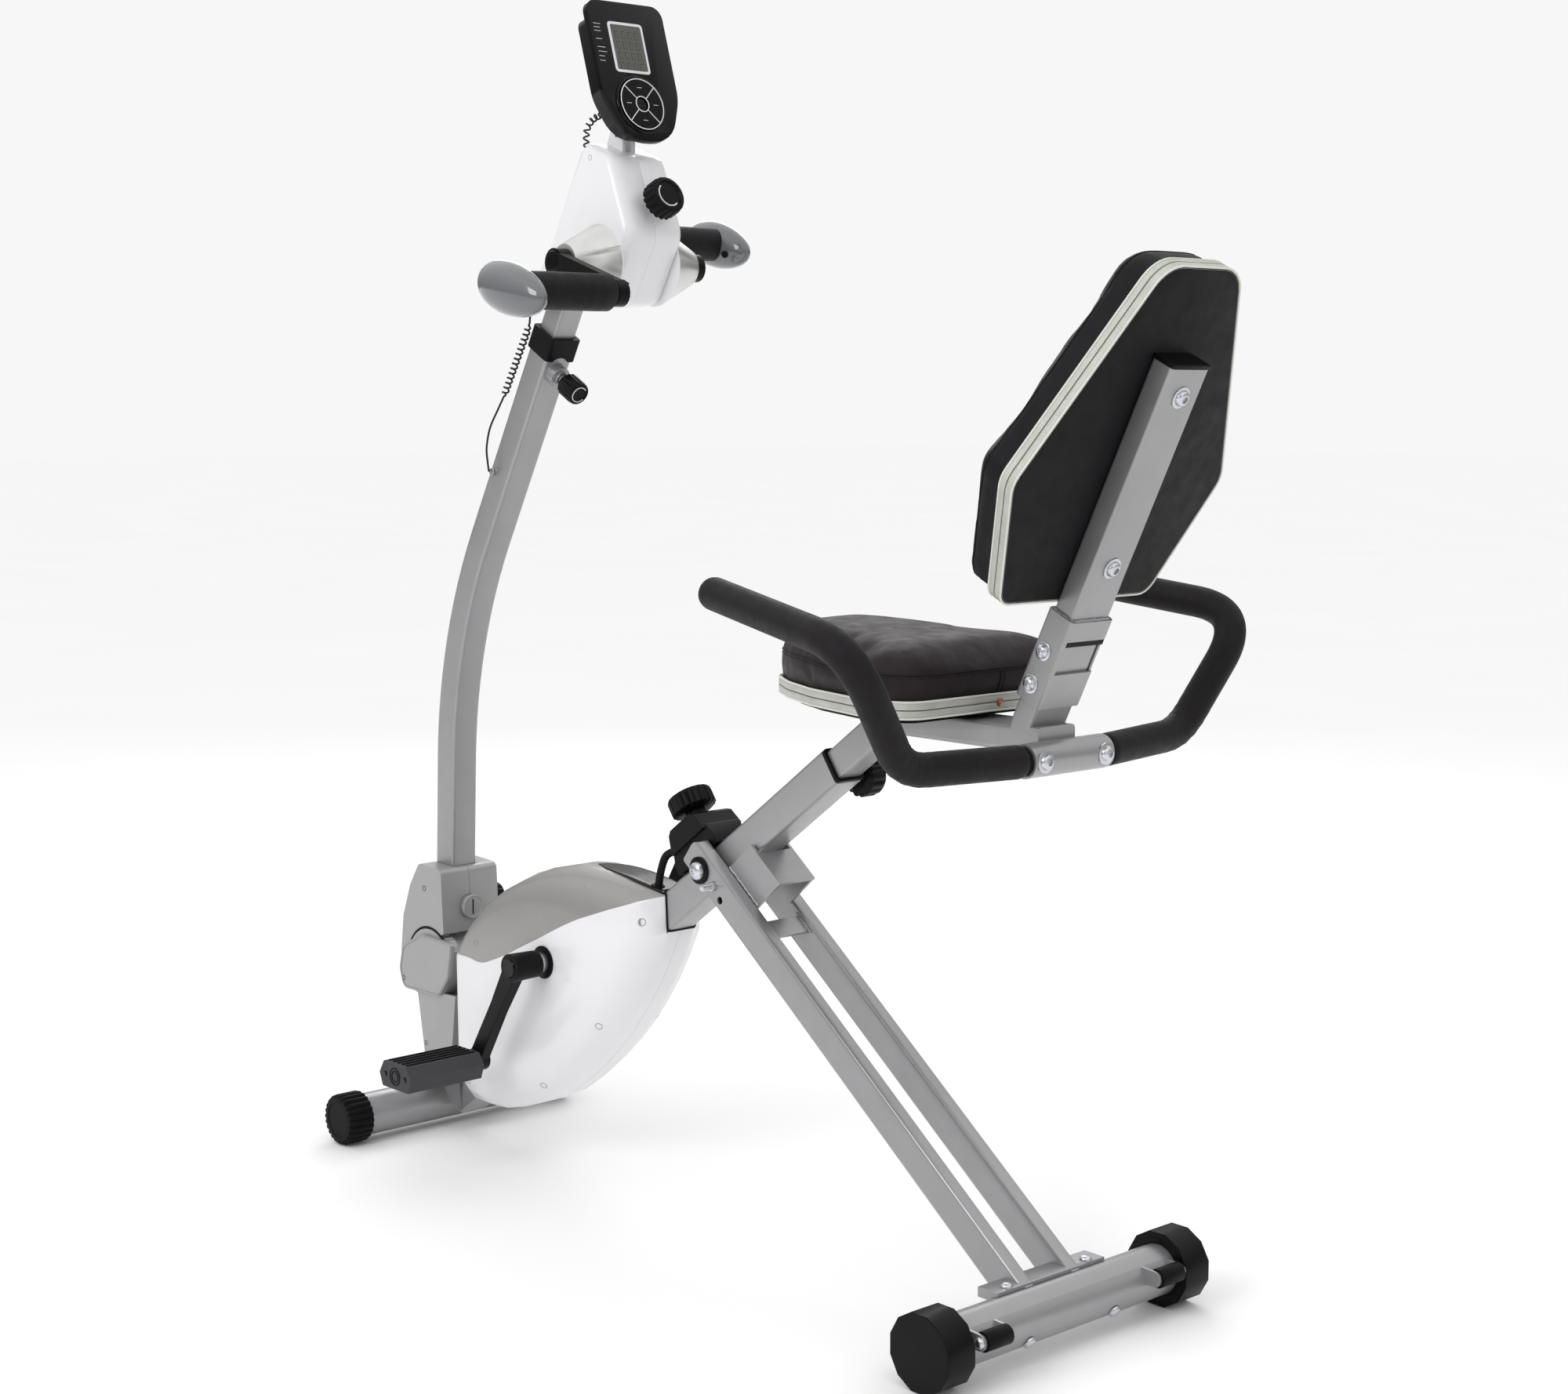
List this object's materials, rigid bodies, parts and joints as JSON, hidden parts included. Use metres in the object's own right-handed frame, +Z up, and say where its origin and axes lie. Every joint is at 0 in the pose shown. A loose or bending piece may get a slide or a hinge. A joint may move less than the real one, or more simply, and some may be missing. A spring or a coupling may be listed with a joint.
{
  "type": "exercise bike",
  "caption": "Semi-recumbent exercise bike with foot cranks, a tilting mast with arm cranks and console, sliding seat with backrest, and folding rear legs.",
  "frame": {"origin": "floor, under the middle of the box", "axes": "+Z up, the rider faces -X, the rider's left is -Y"},
  "size_m": [1.1814, 0.5494, 1.2917],
  "materials": {
    "silver_paint": "satin",
    "zinc": "bright",
    "steel": "satin",
    "white_plastic": "gloss",
    "grey_plastic": "satin",
    "black_plastic": "satin",
    "rubber": "matte",
    "vinyl": "satin",
    "foam": "matte"
  },
  "bodies": {
    "frame": {"main_tube": "silver_paint", "sleeve_bushing": "black_plastic", "front_stabilizer": "silver_paint", "front_cap_left": "rubber", "front_cap_right": "rubber", "housing_left": "white_plastic", "housing_right": "white_plastic", "base_cover_left": "grey_plastic", "base_cover_right": "grey_plastic", "drive_belt": "rubber", "tension_box": "black_plastic", "pivot_bolt": "zinc"},
    "cranks": {"crank_axle": "steel", "crank_left": "black_plastic", "crank_right": "black_plastic"},
    "pedal_left": {"pedal_left": "rubber"},
    "pedal_right": {"pedal_right": "rubber"},
    "flywheel": {"flywheel": "steel"},
    "tension_knob": {"tension_knob": "black_plastic"},
    "legs": {"leg_frame": "silver_paint", "rear_stabilizer": "silver_paint", "rear_cap_left": "black_plastic", "rear_cap_right": "black_plastic"},
    "lock_pin": {"lock_pin": "zinc"},
    "roller_left": {"roller_left": "rubber"},
    "roller_right": {"roller_right": "rubber"},
    "seat": {"seat_frame": "silver_paint", "handlebar_left": "foam", "handlebar_right": "foam", "seat_board": "black_plastic", "seat_cushion": "vinyl", "back_post": "silver_paint", "backrest_board": "black_plastic", "backrest_cushion": "vinyl"},
    "seat_knob": {"seat_knob": "black_plastic"},
    "mast": {"mast_tube": "silver_paint", "mast_cover_left": "grey_plastic", "mast_cover_right": "grey_plastic", "mast_collar": "black_plastic", "mast_lead_coil": "rubber", "mast_lead_tail": "rubber"},
    "tilt_knob": {"tilt_knob": "black_plastic"},
    "mast_knob": {"mast_knob": "black_plastic"},
    "head": {"inner_post": "silver_paint", "head_left": "white_plastic", "head_right": "white_plastic", "mast_lead_top": "rubber", "console_lead": "rubber"},
    "head_knob": {"head_knob": "black_plastic"},
    "arms": {"arm_axle": "steel", "arm_crank_left": "black_plastic", "arm_crank_right": "black_plastic"},
    "grip_left": {"grip_left": "foam"},
    "grip_right": {"grip_right": "foam"},
    "console": {"console_case": "black_plastic"},
    "key_top": {"key_top": "black_plastic"},
    "key_left": {"key_left": "black_plastic"},
    "key_bottom": {"key_bottom": "black_plastic"},
    "key_right": {"key_right": "black_plastic"}
  },
  "joints": [
    {"name": "foot_crank_spin", "type": "hinge", "parent": "frame", "child": "cranks", "pos_m": [-0.279, 0, 0.25], "axis": [0, 1, 0], "continuous": true},
    {"name": "flywheel_spin", "type": "hinge", "parent": "frame", "child": "flywheel", "pos_m": [-0.333, 0, 0.1656], "axis": [0, 1, 0], "continuous": true},
    {"name": "pedal_left_spin", "type": "hinge", "parent": "cranks", "child": "pedal_left", "pos_m": [-0.353, -0.159, 0.131], "axis": [0, 1, 0], "continuous": true},
    {"name": "pedal_right_spin", "type": "hinge", "parent": "cranks", "child": "pedal_right", "pos_m": [-0.205, 0.159, 0.369], "axis": [0, 1, 0], "continuous": true},
    {"name": "tension_knob_turn", "type": "hinge", "parent": "frame", "child": "tension_knob", "pos_m": [-0.08188, 0, 0.43784], "axis": [-0.5878, 0, 0.809], "range_deg": [0, 270]},
    {"name": "leg_fold", "type": "hinge", "parent": "frame", "child": "legs", "pos_m": [-0.028, 0, 0.3875], "axis": [0, 1, 0], "range_deg": [0, 78]},
    {"name": "lock_pin_pull", "type": "slide", "parent": "legs", "child": "lock_pin", "axis": [0, -1, 0], "range_m": [0, 0.03]},
    {"name": "roller_left_spin", "type": "hinge", "parent": "legs", "child": "roller_left", "pos_m": [0.472, -0.12, 0.046], "axis": [0, 1, 0], "continuous": true},
    {"name": "roller_right_spin", "type": "hinge", "parent": "legs", "child": "roller_right", "pos_m": [0.472, 0.12, 0.046], "axis": [0, 1, 0], "continuous": true},
    {"name": "seat_slide", "type": "slide", "parent": "frame", "child": "seat", "axis": [0.809, 0, 0.5878], "range_m": [0, 0.1]},
    {"name": "seat_knob_pull", "type": "slide", "parent": "frame", "child": "seat_knob", "axis": [0, 1, 0], "range_m": [0, 0.008], "stiffness_N_per_m": 800, "springref_m": -0.004},
    {"name": "mast_tilt", "type": "hinge", "parent": "frame", "child": "mast", "pos_m": [-0.531, 0, 0.202], "axis": [0, 1, 0], "range_deg": [-8, 12]},
    {"name": "tilt_knob_turn", "type": "hinge", "parent": "mast", "child": "tilt_knob", "pos_m": [-0.534, 0, 0.272], "axis": [0, 1, 0], "range_deg": [0, 360]},
    {"name": "mast_knob_pull", "type": "slide", "parent": "mast", "child": "mast_knob", "axis": [0.8704, 0, -0.4924], "range_m": [0, 0.008], "stiffness_N_per_m": 800, "springref_m": -0.004},
    {"name": "mast_height", "type": "slide", "parent": "mast", "child": "head", "axis": [0.4924, 0, 0.8704], "range_m": [0, 0.1]},
    {"name": "head_knob_turn", "type": "hinge", "parent": "head", "child": "head_knob", "pos_m": [-0.141, 0, 1.08], "axis": [0.9272, 0, 0.3746], "range_deg": [0, 270]},
    {"name": "arm_crank_spin", "type": "hinge", "parent": "head", "child": "arms", "pos_m": [-0.193, 0, 1.017], "axis": [0, 1, 0], "continuous": true},
    {"name": "grip_left_spin", "type": "hinge", "parent": "arms", "child": "grip_left", "pos_m": [-0.082, -0.16, 0.982], "axis": [0, 1, 0], "continuous": true},
    {"name": "grip_right_spin", "type": "hinge", "parent": "arms", "child": "grip_right", "pos_m": [-0.304, 0.16, 1.052], "axis": [0, 1, 0], "continuous": true},
    {"name": "console_tilt", "type": "hinge", "parent": "head", "child": "console", "pos_m": [-0.1906, 0, 1.1619], "axis": [0, 1, 0], "range_deg": [-4, 6]},
    {"name": "key_top_press", "type": "slide", "parent": "console", "child": "key_top", "axis": [-0.9563, 0, -0.2924], "range_m": [0, 0.001], "stiffness_N_per_m": 400, "springref_m": -0.001},
    {"name": "key_left_press", "type": "slide", "parent": "console", "child": "key_left", "axis": [-0.9563, 0, -0.2924], "range_m": [0, 0.001], "stiffness_N_per_m": 400, "springref_m": -0.001},
    {"name": "key_bottom_press", "type": "slide", "parent": "console", "child": "key_bottom", "axis": [-0.9563, 0, -0.2924], "range_m": [0, 0.001], "stiffness_N_per_m": 400, "springref_m": -0.001},
    {"name": "key_right_press", "type": "slide", "parent": "console", "child": "key_right", "axis": [-0.9563, 0, -0.2924], "range_m": [0, 0.001], "stiffness_N_per_m": 400, "springref_m": -0.001}
  ],
  "couplings": [
    {"joint": "flywheel_spin", "follows": "foot_crank_spin", "ratio": 5.7143}
  ]
}
